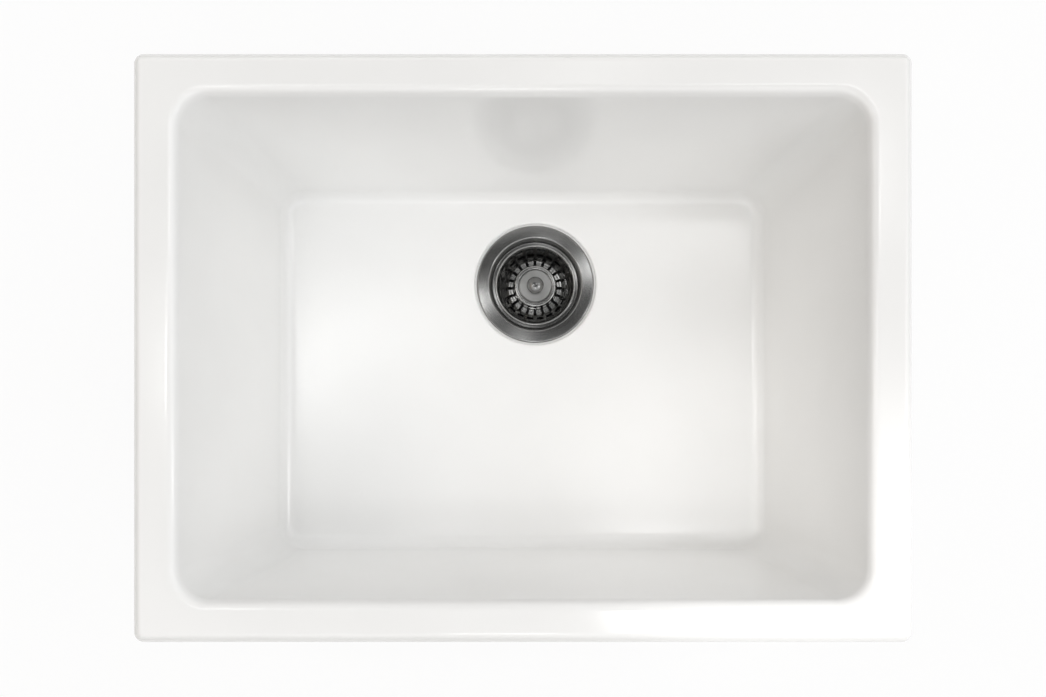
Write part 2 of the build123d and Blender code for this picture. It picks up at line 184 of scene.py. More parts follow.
class SinkBasketSizes(PropertyGroup):
    """Radii of the basket's middle line, and depths that count down from the flange's flat top."""

    sheet: length("Sheet", "Thickness of the drawn sheet", 0.8)
    bore: length("Bore", "Radius of the hole for the stem's guide", 5.25)
    dish: length("Dish", "Radius of the dish under the cap", 16.8)
    dish_depth: length("Dish depth", "Depth of the dish", 12.3)
    dish_bend: length("Dish bend", "Bends of the dish", 0.7)
    hub_top: length("Hub top", "Radius of the hub at its top", 20.3)
    hub_depth: length("Hub depth", "Depth of the hub's top", 10.7)
    hub_foot: length("Hub foot", "Radius of the hub at its foot", 21.4)
    hub_bend: length("Hub bend", "Bends of the hub", 1.6)
    corner: length("Corner", "Radius where the wall would meet the bottom", 27.4)
    bottom: length("Bottom", "Depth of the bottom", 23.5)
    bottom_bend: length("Bottom bend", "Bend between the bottom and the wall", 3.5)
    curl: length("Curl", "Radius of the rolled rim's middle line", 0.6)
    curl_reach: length("Curl reach", "Radius at which the rolled rim is centred", 38.5)
    curl_depth: length("Curl depth", "Depth at which the rolled rim is centred", 5.6)
    curl_end: angle("Curl end", "How far the curl turns past its outermost point", 110)
    pitch: angle("Pitch", "Angle from one slot to the next", 18)
    slot_start: length("Slot start", "Radius where the slots start on the hub", 19.6)
    slot_end: length("Slot end", "Radius where the slots end in the bottom's bend", 27)
    slot_width: length("Slot width", "Width of the slots", 2.8)
    window: angle("Window", "Angle that a window takes up", 12.4)
    upper_top: length("Upper top", "Depth where the upper windows start", 7.6)
    upper_end: length("Upper end", "Depth where the upper windows end", 10.4)
    lower_top: length("Lower top", "Depth where the lower windows start", 13.8)
    lower_end: length("Lower end", "Depth where the lower windows end", 19.3)
    edge: length("Edge", "Rounding of the holes' edges", 0.12)


class SinkPlungerSizes(PropertyGroup):
    """Radii of the pieces that the knob lifts, and depths that count down from the flange's flat top."""

    cap: length("Cap", "Radius of the cap", 15.4)
    cap_top: length("Cap top", "Depth of the cap's top", 9.4)
    cap_sheet: length("Cap sheet", "Thickness of the cap", 1)
    cap_edge: length("Cap edge", "Radius of the cap's edge", 0.9)
    cap_end: length("Cap end", "Depth where the cap's skirt ends", 11.6)
    bore: length("Bore", "Radius of the bores for the stem's upper end", 2.55)
    socket: length("Socket", "Depth of the knob's blind hole", 5.05)
    knob_height: length("Knob height", "Height of the knob", 8.2)
    knob_head: length("Knob head", "Radius of the knob's head", 8.2)
    knob_under: length("Knob head height", "Height of the knob's head", 5.2)
    knob_dome: length("Knob dome", "Height of the knob's dome", 3.4)
    knob_edge: length("Knob edge", "Radius of the head's edges", 0.8)
    knob_neck: length("Knob neck", "Radius of the knob's neck", 3.9)
    knob_foot: length("Knob foot", "Radius of the knob's foot", 4.8)
    stem_tip: length("Stem tip", "Radius of the stem's upper end", 2.5)
    tip_length: length("Tip length", "Length of the stem's upper end in the knob", 5)
    stem: length("Stem", "Radius of the stem", 3)
    collar: length("Collar", "Radius of the stem's collar", 4.6)
    collar_top: length("Collar top", "Depth of the collar's top", 33)
    collar_end: length("Collar end", "Depth of the collar's end", 34.5)
    nut_top: length("Nut top", "Depth of the stem nut's top", 41.4)
    nut_height: length("Nut height", "Height of the stem nut", 5)
    nut_flat: length("Nut flat", "Distance from the nut's middle to its flats", 5)
    nut_bore: length("Nut bore", "Radius of the nut's bore", 3.05)
    stem_end: length("Stem end", "Depth of the stem's lower end", 48.5)
    stem_chamfer: length("Stem chamfer", "Chamfer of the stem's lower end", 0.6)
    stem_root: length("Stem root", "Radius of the stem at the root of its thread", 2.7)
    stem_pitch: length("Stem pitch", "Pitch of the stem's thread", 1)


class SinkFinishes(PropertyGroup):
    """Colours of the sink's finishes."""

    glaze: colour("Glaze", "White glaze", (0.93, 0.93, 0.922))
    bisque: colour("Bisque", "Bare fired clay under the bowl", (0.72, 0.66, 0.56))
    steel: colour("Steel", "Brushed stainless steel", (0.27, 0.27, 0.266))
    bright_steel: colour("Bright steel", "Polished stainless steel", (0.34, 0.34, 0.334))
    # The knob's colour is darker than its steel would be: painted shade that stands in for the dark
    # surroundings which the knob mirrors.
    knob_painted_shade: colour("Knob steel", "Darker turned steel of the knob", (0.2, 0.2, 0.197))
    brass: colour("Brass", "Cast brass", (0.62, 0.45, 0.2))
    rubber: colour("Rubber", "Black rubber", (0.028, 0.028, 0.03))
    foam: colour("Foam", "Grey foam of the flange's seal", (0.3, 0.3, 0.31))
    fibre: colour("Fibre", "Pressed fibre of the friction ring", (0.4, 0.26, 0.13))
    nylon: colour("Nylon", "White nylon of the stem's guide", (0.78, 0.77, 0.72))


class SinkStageSizes(PropertyGroup):
    """Camera, lamps and floor."""

    camera_y: length("Camera Y", "Where the camera stands in front of the middle", -80.3)
    camera_z: length("Camera Z", "Height of the camera over the rim", 700)
    lens: amount("Lens", "Focal length in millimetres", 31.77)
    shift: amount("Shift", "How far the picture is shifted up", 0.1)
    floor_gap: length("Floor gap", "How far the floor lies below the part", 1)
    floor_reach: length("Floor reach", "Half the size of the studio's floor", 8000)
    sky: amount("Sky", "Strength of the studio's soft light", 1.77)
    banks: amount("Banks", "Light of the narrow banks of lamps across the dark patch", 7.6)
    long_bank: angle("Long bank", "Heading of the banks at the sink's ends", 16)
    short_bank: angle("Short bank", "Heading of the banks in front and behind", 75)
    patch: amount("Dark patch", "Share of the soft light in the patch that the flange mirrors", 0.03)
    left_tint: colour("Left tint", "Warm tint of the light from the left", (0.85, 0.72, 0.58))
    right_lamp: amount("Right lamp", "Power of the softbox on the right, in watts", 0.8)
    left_lamp: amount("Left lamp", "Power of the softbox on the left, in watts", 0.4)
    front_lamp: amount("Front lamp", "Power of the softbox in front, in watts", 0.7)
    pool: amount("Pool", "Power of the spot on the floor's right, in watts", 18.0)


def sizes(group="basin"):
    """A group of sizes as the user has them."""
    return getattr(bpy.context.scene, "sink_" + group)


def finishes():
    """The colours as the user has them."""
    return sizes("finishes")


def tuned(made, **settings):
    """Sets several values of a new thing, and gives it back."""
    for key, value in settings.items():
        setattr(made, key, value)
    return made


def added(name, data):
    """A new object of some data, in the scene."""
    made = bpy.data.objects.new(name, data)
    bpy.context.scene.collection.objects.link(made)
    return made


def shaped(name, bm, material):
    """A new object of a bmesh, with its material."""
    mesh = bpy.data.meshes.new(name)
    bm.to_mesh(mesh)
    bm.free()
    mesh.materials.append(material)
    return added(name, mesh)


class Wire:
    """A shader socket that takes part in sums, each of which adds its Math node."""

    def __init__(self, graph, socket):
        self.graph = graph
        self.socket = socket

    def math(self, operation, *others):
        return self.graph.node("ShaderNodeMath", dict(enumerate([self, *others])), operation=operation)

    def __add__(self, other):
        return self.math("ADD", other)

    def __sub__(self, other):
        return self.math("SUBTRACT", other)

    def __rsub__(self, other):
        return self.graph.node("ShaderNodeMath", {0: other, 1: self}, operation="SUBTRACT")

    def __mul__(self, other):
        return self.math("MULTIPLY", other)

    def __truediv__(self, other):
        return self.math("DIVIDE", other)

    __radd__ = __add__
    __rmul__ = __mul__


class Graph:
    """The nodes of a material or of the sky, under construction."""

    def __init__(self, tree, material=None):
        self.tree = tree
        self.owner = material
        tree.nodes.clear()

    @classmethod
    def material(cls, name):
        """Starts a new material."""
        made = bpy.data.materials.new(name)
        made.use_nodes = True
        return cls(made.node_tree, made)

    def node(self, kind, sockets=None, output=0, **settings):
        """Adds a node of a kind, with its settings first and then its sockets' values or links."""
        made = self.tree.nodes.new(kind)
        tuned(made, **settings)
        for key, value in (sockets or {}).items():
            if isinstance(value, Wire):
                self.tree.links.new(value.socket, made.inputs[key])
            elif made.inputs[key].type == "RGBA" and len(value) == 3:
                made.inputs[key].default_value = (*value, 1)
            else:
                made.inputs[key].default_value = value
        return Wire(self, made.outputs[output])

    def place(self, centre=(0, 0, 0)):
        """Object coordinates counted from a centre."""
        here = self.node("ShaderNodeTexCoord", output="Object")
        return self.node("ShaderNodeMapping", {"Vector": here, "Location": [-c for c in centre]})

    def parts(self, vector):
        """The three numbers of a vector."""
        split = self.node("ShaderNodeSeparateXYZ", {0: vector}).socket.node
        return [Wire(self, socket) for socket in split.outputs]

    def vector(self, x, y, z):
        return self.node("ShaderNodeCombineXYZ", {0: x, 1: y, 2: z})

    def noise(self, vector, scale, detail, roughness=0.55):
        """Noise from 0 to 1 at a number of waves per metre."""
        sockets = {"Vector": vector, "Scale": scale, "Detail": detail, "Roughness": roughness}
        return self.node("ShaderNodeTexNoise", sockets)

    def steps(self, value, stops):
        """Values or colours that a ramp gives to a number."""
        made = self.node("ShaderNodeValToRGB", {0: value})
        ramp = made.socket.node.color_ramp.elements
        while len(ramp) < len(stops):
            ramp.new(0.5)
        for stop, (place, shade) in zip(ramp, stops):
            stop.position = place
            stop.color = (*shade, 1) if hasattr(shade, "__len__") else (shade, shade, shade, 1)
        return made

    def mottled(self, value, colour, dark, light):
        """Darker and lighter shades of a colour, each given by its place on the ramp and its share."""
        stops = [(place, [min(1, c * share) for c in colour]) for place, share in (dark, light)]
        return self.steps(value, stops)

    def blend(self, factor, first, second):
        """Colour between two others."""
        sockets = {0: factor, 6: first, 7: second}
        return self.node("ShaderNodeMix", sockets, output=2, data_type="RGBA", clamp_factor=True)

    def bump(self, height, distance, strength):
        return self.node("ShaderNodeBump", {"Height": height, "Distance": distance, "Strength": strength})

    def surface(self, shader, kind="ShaderNodeOutputMaterial"):
        """Ends the graph in a shader, and gives back the material."""
        end = self.tree.nodes.new(kind)
        self.tree.links.new(shader.socket, end.inputs["Surface"])
        return self.owner

    def done(self, shade, roughness, normal, **more):
        """Ends the material in one Principled surface."""
        sockets = {"Base Color": shade, "Roughness": roughness, "Normal": normal, **more}
        return self.surface(self.node("ShaderNodeBsdfPrincipled", sockets))


def glazed_fireclay():
    """White glaze over fireclay, with the bare biscuit showing where the bowl stood in the kiln."""
    make = Graph.material("glazed_fireclay")
    here = make.place()
    height = make.parts(here)[2]
    cloud = make.noise(here, 9, 2)
    grain = make.noise(here, 900, 4)
    waver = make.noise(here, 24, 1)
    edge = make.noise(here, 60, 3)
    line = basin_low.z + 3.5 * MM + edge * (5 * MM)
    bare = make.node("ShaderNodeClamp", {0: (line - height) * (1 / (1.2 * MM))})
    tint = make.mottled(cloud, finishes().glaze, (0.3, 0.985), (0.7, 1.01))
    biscuit = make.mottled(grain, finishes().bisque, (0.35, 0.86), (0.62, 1.06))
    relief = make.bump(waver * (1 - bare) + grain * bare * 0.08, 0.12 * MM, 0.6)
    return make.done(make.blend(bare, tint, biscuit), 0.16 + bare * 0.63, relief, IOR=1.52)


def turned_marks(make, fineness):
    """Fine circular marks about the waste's axis, from 0 to 1."""
    x, y, z = make.parts(make.place(WASTE))
    radius = (x * x + y * y).math("SQRT") + 0.1 * MM
    around = make.vector(x / radius * 1.5, y / radius * 1.5, radius * fineness + z * fineness)
    return make.noise(around, 1.0, 5, 0.7)


def brushed_stainless():
    """Stainless sheet brushed in circles."""
    make = Graph.material("brushed_stainless")
    marks = turned_marks(make, 2400)
    stain = make.noise(make.place(), 40, 2)
    shade = make.mottled(marks, finishes().steel, (0.25, 0.9), (0.75, 1.08))
    brushing = {"Metallic": 1.0, "Anisotropic": 0.9, "Anisotropic Rotation": 0.25}
    return make.done(shade, 0.14 + marks * 0.1 + stain * 0.05, make.bump(marks, 0.012 * MM, 0.5), **brushing)


def bright_stainless(name, roughness, steel):
    """Polished or satin stainless with faint drawing marks."""
    make = Graph.material(name)
    marks = turned_marks(make, 1500)
    smear = make.noise(make.place(), 120, 3)
    shade = make.mottled(smear, steel, (0.3, 0.94), (0.7, 1.04))
    rough = roughness + marks * 0.08 + smear * 0.06
    return make.done(shade, rough, make.bump(marks, 0.006 * MM, 0.4), Metallic=1.0)


def cast_brass():
    """Cast brass, grainy where it was left as cast."""
    make = Graph.material("cast_brass")
    here = make.place()
    grain = make.noise(here, 1400, 4)
    tarnish = make.noise(here, 90, 3)
    metal = finishes().brass
    shade = make.steps(tarnish, [(0.3, [metal[0] * 0.72, metal[1] * 0.66, metal[2] * 0.6]), (0.65, metal)])
    rough = 0.3 + grain * 0.18 + tarnish * 0.1
    return make.done(shade, rough, make.bump(grain, 0.05 * MM, 0.5), Metallic=1.0)


def moulded(name, shade, roughness, grain_scale, grain_height):
    """Rubber, foam, fibre or plastic with its own moulded grain."""
    make = Graph.material(name)
    here = make.place()
    grain = make.noise(here, grain_scale, 4)
    wear = make.noise(here, 70, 2)
    tint = make.mottled(wear, shade, (0.3, 0.88), (0.7, 1.12))
    return make.done(tint, roughness + (wear - 0.5) * 0.12, make.bump(grain, grain_height, 0.5))


def piece(name, bm, material, body, slot, *replaced):
    """Makes an object of a bmesh, smooth but for its sharp edges, and lets it ride on a body."""
    made = shaped(name, bm, material)
    made.data.shade_smooth()
    made.data.set_sharp_from_angle(angle=radians(30))
    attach(made, body)
    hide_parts(*replaced)
    return made


class Section:
    """Section through one pair of facing walls of the basin: rows of reach, height and corner centre."""

    def __init__(self, opening, rim, draft):
        self.size = sizes()
        self.half = opening / 2
        self.rim = rim
        self.draft = draft
        self.quarter = pi / 2 - draft

    def wall(self, height, thickness=0.0):
        """Reach of the leaning wall at a height, on its inside or past its thickness."""
        return self.half + thickness / cos(self.draft) + height * tan(self.draft)

    def inside(self, floor, rise):
        """Lip, wall and fillet, down to a floor of some height that rises outwards at some angle."""
        size = self.size
        start = self.half + size.lip * tan(self.quarter / 2)
        rows = bow(start, -size.lip, size.lip, pi / 2, pi - self.draft, 10)
        reach = size.floor_fillet * tan((self.quarter - rise) / 2)
        foot = self.wall(floor) - reach * cos(rise), floor - reach * sin(rise)
        centre = foot[0] - size.floor_fillet * sin(rise), foot[1] + size.floor_fillet * cos(rise)
        fillet = bow(*centre, size.floor_fillet, -self.draft, rise - pi / 2, 10)
        rows += between(rows[-1], fillet[0], WALL_ROWS) + fillet
        return [(reach, height, self.wall(height) - size.corner) for reach, height in rows]

    def outside(self):
        """Foot, wall, root under the rim and the rim's own edges, from the underside up to the top."""
        size = self.size
        ground = basin_low.z
        under = -size.rim_thickness
        start = self.wall(ground, size.wall) - size.foot * tan(self.quarter / 2)
        rows = bow(start, ground + size.foot, size.foot, -pi / 2, -self.draft, 10)
        start = self.wall(under, size.wall) + size.root * tan(self.quarter / 2)
        root = bow(start, under - size.root, size.root, pi - self.draft, pi / 2, 8)
        rows += between(rows[-1], root[0], OUTER_ROWS) + root
        wide = size.corner + size.wall
        rows = [(reach, height, self.wall(height, size.wall) - wide) for reach, height in rows]
        edge = bow(self.rim - size.under_edge, under + size.under_edge, size.under_edge, -pi / 2, 0, 5)
        edge += bow(self.rim - size.rim_edge, -size.rim_edge, size.rim_edge, 0, pi / 2, 12)
        edge = [(*point, self.rim - size.rim_corner) for point in edge]
        return rows + between(rows[-1], edge[0], LEDGE_ROWS) + edge


def arc(first, last, count):
    """Even steps between two angles, both ends among them."""
    return [first + (last - first) * step / count for step in range(count + 1)]


def bow(x, y, radius, first, last, count):
    """Points round a centre at a radius, from one angle to another."""
    return [(x + radius * cos(turn), y + radius * sin(turn)) for turn in arc(first, last, count)]


def between(first, last, shares):
    """Rows at some shares of the way between two rows."""
    return [tuple(a + (b - a) * share for a, b in zip(first, last)) for share in shares]


def around_rim(corner_steps, long_steps, short_steps):
    """Places round a rounded rectangle: the corner that each leans on and the direction that it faces."""
    corners = [(1, 1), (-1, 1), (-1, -1), (1, -1)]
    spots = []
    for quarter, here in enumerate(corners):
        ahead = corners[(quarter + 1) % 4]
        start = quarter * pi / 2
        for turn in arc(start, start + pi / 2, corner_steps)[:-1]:
            spots.append((*here, cos(turn), sin(turn)))
        side = short_steps if quarter % 2 else long_steps
        facing = start + pi / 2
        for step in range(side):
            across = between(here, ahead, [step / side])[0]
            spots.append((*across, cos(facing), sin(facing)))
    return spots


def stand(spot, x_row, y_row):
    """Where a row of the two sections stands at a place round the rim."""
    px, py, dx, dy = spot
    x = px * x_row[2] + dx * (x_row[0] - x_row[2])
    y = py * y_row[2] + dy * (y_row[0] - y_row[2])
    return Vector((x, y, x_row[1] * dx * dx + y_row[1] * dy * dy))


def polar(point):
    """Angle and distance of a point about the waste's axis."""
    away = point - WASTE
    return atan2(away.y, away.x), hypot(away.x, away.y)


def at_angle(turn, radius, height):
    """Point at an angle, a radius and a height about the waste's axis."""
    return Vector((WASTE.x + radius * cos(turn), WASTE.y + radius * sin(turn), height))


def dish(radius):
    """Height of the shallow dish of the floor at a distance from the waste, and its slope there."""
    size = sizes()
    half = size.opening_x / 2
    sphere = (half**2 + size.floor_rise**2) / (2 * size.floor_rise)
    return sphere - sqrt(sphere**2 - radius**2) - size.depth, radius / sphere


def waste_rows(turn):
    """Recess, hole and gasket seat at one angle, from the floor down to the underside."""
    size = sizes()
    edge = size.hole_edge
    wide = size.recess + size.recess_lip
    shelf = -size.depth - size.recess_depth
    seat = basin_low.z + size.seat_depth
    rows = bow(wide, dish(wide)[0] - size.recess_lip, size.recess_lip, pi / 2, pi, 6)
    rows += [(size.recess, shelf), (size.recess - 2 * MM, shelf), (size.hole + 2 * edge, shelf)]
    rows += bow(size.hole + edge, shelf - edge, edge, pi / 2, pi, 4)
    rows += bow(size.hole + edge, seat + edge, edge, pi, 3 * pi / 2, 4)
    rows += [(size.hole + 2 * edge, seat), (size.seat, seat), (size.seat, basin_low.z)]
    return [at_angle(turn, radius, height) for radius, height in rows]


def swung(foot, turn, near, shares):
    """Angles and radii at some shares of the way from a wall's foot to a ring about the waste."""
    start, far = polar(foot)
    swing = remainder(turn - start, tau)
    return [(start + swing * share, far + (near - far) * share) for share in shares]


def basin_column(spot, turn, x_walls, y_walls):
    """The whole section of the basin at one place round the rim, closed on itself."""
    size = sizes()
    level, rise = -size.depth, 0.0
    # The first round finds where the wall ends, and the second knows the floor's height and slope there.
    for _ in range(2):
        x_rows = x_walls.inside(level, rise)
        y_rows = y_walls.inside(level, rise)
        away = stand(spot, x_rows[-1], y_rows[-1]) - WASTE
        far = hypot(away.x, away.y)
        level, slope = dish(far)
        rise = atan(slope * (away.x * spot[2] + away.y * spot[3]) / far)
        level += size.floor_fillet * tan((x_walls.quarter - rise) / 2) * sin(rise)
    column = [stand(spot, x_row, y_row) for x_row, y_row in zip(x_rows, y_rows)]
    for here, radius in swung(column[-1], turn, size.recess + size.recess_lip, FLOOR_ROWS):
        column.append(at_angle(here, radius, dish(radius)[0]))
    column += waste_rows(turn)
    outer = [stand(spot, x_row, y_row) for x_row, y_row in zip(x_walls.outside(), y_walls.outside())]
    for here, radius in swung(outer[0], turn, size.seat, UNDER_ROWS):
        column.append(at_angle(here, radius, basin_low.z))
    rim = between(tuple(outer[-1]), tuple(column[0]), RIM_ROWS)
    return column + outer + [Vector(point) for point in rim]


def basin_mesh():
    """Closed mesh of the basin, a grid whose columns run round the whole section."""
    size = sizes()
    x_walls = Section(size.opening_x, basin_high.x, size.end_draft)
    y_walls = Section(size.opening_y, basin_high.y, size.side_draft)
    spots = around_rim(14, 34, 26)
    x_foot = x_walls.inside(-size.depth, 0)[-1]
    y_foot = y_walls.inside(-size.depth, 0)[-1]
    feet = [polar(stand(spot, x_foot, y_foot))[0] for spot in spots]
    evens = [feet[0] + tau * index / len(spots) for index in range(len(spots))]
    turns = [foot + remainder(even - foot, tau) * size.spread for foot, even in zip(feet, evens)]
    columns = [basin_column(spot, turn, x_walls, y_walls) for spot, turn in zip(spots, turns)]
    columns.append(columns[0])
    bm = bmesh.new()
    rows = len(columns[0])
    bmesh.ops.create_grid(bm, x_segments=len(columns) - 1, y_segments=rows - 1, size=1)
    if len(bm.verts) != rows * len(columns):
        raise RuntimeError("the basin's grid has another count of vertices")
    for index, vert in enumerate(bm.verts):
        row, column = divmod(index, len(columns))
        vert.co = columns[column][row]
    return sound(bm, 0.004 * MM)


def rounded(*corners):
    """Line of radius and depth, as complex numbers, rounded at the corners that give a bend as well."""
    points = [complex(*corner[:2]) for corner in corners]
    bends = [corner[2] if len(corner) == 3 else 0 for corner in corners]
    line = []
    for before, corner, after, bend in zip(points[-1:] + points, points, points[1:] + points[:1], bends):
        if not bend:
            line.append(corner)
            continue
        inward = (corner - before) / abs(corner - before)
        turn = phase((after - corner) / inward)
        start = corner - inward * bend * tan(abs(turn) / 2)
        centre = start + inward * 1j * copysign(bend, turn)
        line += [centre + (start - centre) * rect(1, turn * share) for share in arc(0, 1, 6)]
    return line


def beside(middle, offset):
    """Line at an even distance from a middle line."""
    line = []
    for before, point, after in zip(middle[:1] + middle, middle, middle[1:] + middle[-1:]):
        run = after - before
        line.append(point + run / abs(run) * 1j * offset)
    return line


def crossed(line, part, value):
    """The line with a point added wherever its radius or its depth passes a value."""
    made = line[:1]
    for before, after in zip(line, line[1:]):
        first, last = getattr(before, part), getattr(after, part)
        if (first - value) * (last - value) < 0:
            made.append(before + (after - before) * (value - first) / (last - first))
        made.append(after)
    return made


def spun(*lines, bm=None, steps=STEPS, climb=0.0):
    """Mesh of lines of radius and depth, spun about the waste's axis, and along it where it climbs."""
    bm = bm or bmesh.new()
    for line in lines:
        verts = [bm.verts.new((WASTE.x + point.real, WASTE.y, WASTE.z - point.imag)) for point in line]
        edges = [bm.edges.new(pair) for pair in zip(verts, verts[1:])]
        turning = {"cent": WASTE, "axis": (0, 0, 1), "angle": tau, "steps": steps}
        rise = (0, 0, climb / steps)
        bmesh.ops.spin(bm, geom=verts + edges, dvec=rise, use_merge=not climb, **turning)
    return bm


def thread(bm, root, crest, first, last, pitch):
    """Adds a right-handed thread between two depths, which fades out at both ends."""
    old = len(bm.verts)
    line = []
    for turn in range(-1, ceil((last - first) / pitch) + 2):
        for share, high in THREAD_FORM:
            line.append(complex(root + (crest - root) * high, first + (turn + share) * pitch))
    spun(line, bm=bm, climb=pitch)
    for vert in list(bm.verts)[old:]:
        turn, radius = polar(vert.co)
        depth = WASTE.z - vert.co.z
        near = min(depth - first, last - depth) / (THREAD_FADE * pitch)
        radius = root + (radius - root) * min(1, max(0, near))
        vert.co = at_angle(turn, radius, WASTE.z - min(last, max(first, depth)))
    return bm


def sound(bm, gap=0.002 * MM):
    """Joins the mesh's seams and poles, and turns its faces outwards."""
    bmesh.ops.remove_doubles(bm, verts=bm.verts, dist=gap)
    bmesh.ops.recalc_face_normals(bm, faces=bm.faces)
    return bm


def strainer_mesh():
    """Pressed flange, sloped well and deep cup with the ring nut's thread round it."""
    size = sizes("strainer")
    half = size.sheet / 2
    cup = size.cup + half
    middle = rounded(
        (size.flange - half, size.flange_lip),
        (size.flange - half, half, size.flange_edge),
        (size.well_top + half, half, size.flange_bend),
        (size.well_bottom + half, size.shelf + half, size.flange_bend),
        (cup, size.shelf + half, size.shelf_bend),
        (cup, size.thread_start),
        (cup, size.thread_end),
        (cup, size.cup_floor + half, size.cup_bend),
        (size.outlet + half, size.cup_floor + half, size.outlet_bend),
        (size.outlet + half, size.neck_end),
    )
    first = middle.index(complex(cup, size.thread_start))
    last = middle.index(complex(cup, size.thread_end))
    outside = beside(middle, -half)
    bm = spun(outside[last:] + beside(middle, half)[::-1] + outside[: first + 1])
    root = size.cup + size.sheet
    crest = root + size.thread_height
    return sound(thread(bm, root, crest, size.thread_start, size.thread_end, size.thread_pitch))


def spud_mesh():
    """Outlet piece: a collar, a thread for the tailpiece's nut and a step that carries the cross."""
    size = sizes("strainer")
    root = size.spud_thread - size.thread_height
    line = rounded(
        (root, size.spud_end),
        (size.outlet, size.spud_end, EASED),
        (size.outlet, size.spud_step),
        (size.spud_bore, size.spud_step),
        (size.spud_bore, size.spud_top + size.spud_chamfer),
        (size.spud_bore + size.spud_chamfer, size.spud_top),
        (size.spud_collar, size.spud_top, 2 * EASED),
        (size.spud_collar, size.spud_shoulder, 2 * EASED),
        (root, size.spud_shoulder),
    )
    bm = spun(line)
    return sound(thread(bm, root, size.spud_thread, size.spud_shoulder, size.spud_end, size.spud_pitch))


def basket_line():
    """Middle line of the basket's sheet, from its bore over the hub and up the wall to the curl."""
    size = sizes("basket")
    corner = complex(size.corner, size.bottom)
    centre = complex(size.curl_reach, size.curl_depth)
    away = centre - corner
    far = abs(away)
    touch = corner + away / far * rect(sqrt(far**2 - size.curl**2), -asin(size.curl / far))
    line = rounded(
        (size.bore, size.dish_depth),
        (size.dish, size.dish_depth, size.dish_bend),
        (size.dish, size.hub_depth, size.dish_bend),
        (size.hub_top, size.hub_depth, size.hub_bend),
        (size.hub_foot, size.bottom, size.hub_bend),
        (size.corner, size.bottom, size.bottom_bend),
        (touch.real, touch.imag),
    )
    line += [centre + rect(size.curl, turn) for turn in arc(phase(touch - centre), size.curl_end, 14)[1:]]
    for value in (size.slot_start, size.slot_end):
        line = crossed(line, "real", value)
    for value in (size.upper_top, size.upper_end, size.lower_top, size.lower_end):
        line = crossed(line, "imag", value)
    return line


def basket_mesh():
    """Surface of the basket with its slots and windows left out."""
    size = sizes("basket")
    count = round(tau / size.pitch)
    columns = 7
    bm = spun(basket_line(), steps=count * columns)
    side = (size.pitch - size.window) / 2
    for vert in bm.verts:
        turn, radius = polar(vert.co)
        slot, column = divmod(round(turn / tau * count * columns), columns)
        half = max(side, asin(min(1, size.slot_width / 2 / max(radius, size.slot_start))))
        if radius > size.slot_end + 0.01 * MM:
            half = side
        window = (size.pitch - 2 * half) / (columns - 2)
        offset = half + (column - 1) * window if column else 0.0
        vert.co = at_angle(slot * size.pitch + offset, radius, vert.co.z)
    gone = []
    for face in bm.faces:
        middle = face.calc_center_median()
        turn, radius = polar(middle)
        depth = WASTE.z - middle.z
        web = abs(remainder(turn, size.pitch)) < side
        rows = size.upper_top < depth < size.upper_end or size.lower_top < depth < size.lower_end
        slot = size.slot_start < radius < size.slot_end and web
        opening = radius > size.slot_end and rows and not web
        if slot or opening:
            gone.append(face)
    bmesh.ops.delete(bm, geom=gone, context="FACES")
    return sound(bm)


def cap_mesh():
    """Pressed cap with a turned-down edge."""
    size = sizes("plunger")
    inner = size.cap - size.cap_sheet
    under = size.cap_top + size.cap_sheet
    line = rounded(
        (size.bore, size.cap_top),
        (size.cap, size.cap_top, size.cap_edge),
        (size.cap, size.cap_end, size.cap_sheet / 4),
        (inner, size.cap_end, size.cap_sheet / 4),
        (inner, under, EASED),
        (size.bore, under),
    )
    return sound(spun(line + line[:1]))


def knob_mesh():
    """Mushroom knob: a waisted foot under a domed head, with a blind hole for the stem."""
    size = sizes("plunger")
    top = size.cap_top - size.knob_height
    under = top + size.knob_under
    reach = (size.cap_top - under) / 2
    sag = size.knob_foot - size.knob_neck
    hollow = (reach**2 + sag**2) / (2 * sag)
    lean = asin(reach / hollow)
    waist = bow(size.knob_neck + hollow, size.cap_top - reach, hollow, pi - lean, pi + lean, 10)
    dome = (size.knob_head**2 + size.knob_dome**2) / (2 * size.knob_dome)
    lean = asin(size.knob_head / dome)
    edge, *crown = bow(0, top + dome, dome, lean - pi / 2, -pi / 2, 12)
    brim = (size.knob_head, under, size.knob_edge), (*edge, size.knob_edge)
    head = rounded((size.knob_foot, under), *brim, *crown)
    socket = size.cap_top - size.socket
    lower = rounded((0, socket), (size.bore, socket), (size.bore, size.cap_top), *waist)
    return sound(spun(lower + head[1:]))


def stem_mesh():
    """Turned stem: a tip for the knob, a collar over the stopper and a thread for the nut."""
    size = sizes("plunger")
    tip = size.cap_top - size.tip_length
    shoulder = size.cap_top + size.cap_sheet
    upper = rounded(
        (0, tip),
        (size.stem_tip, tip, EASED),
        (size.stem_tip, shoulder),
        (size.stem, shoulder),
        (size.stem, size.collar_top, EASED),
        (size.collar, size.collar_top, EASED),
        (size.collar, size.collar_end),
        (size.stem, size.collar_end),
        (size.stem, size.nut_top),
        (size.stem_root, size.nut_top),
    )
    low = size.stem_end - size.stem_chamfer
    lower = rounded((size.stem_root, low), (size.stem_root - 0.4 * MM, size.stem_end), (0, size.stem_end))
    return sound(thread(spun(upper, lower), size.stem_root, size.stem, size.nut_top, low, size.stem_pitch))


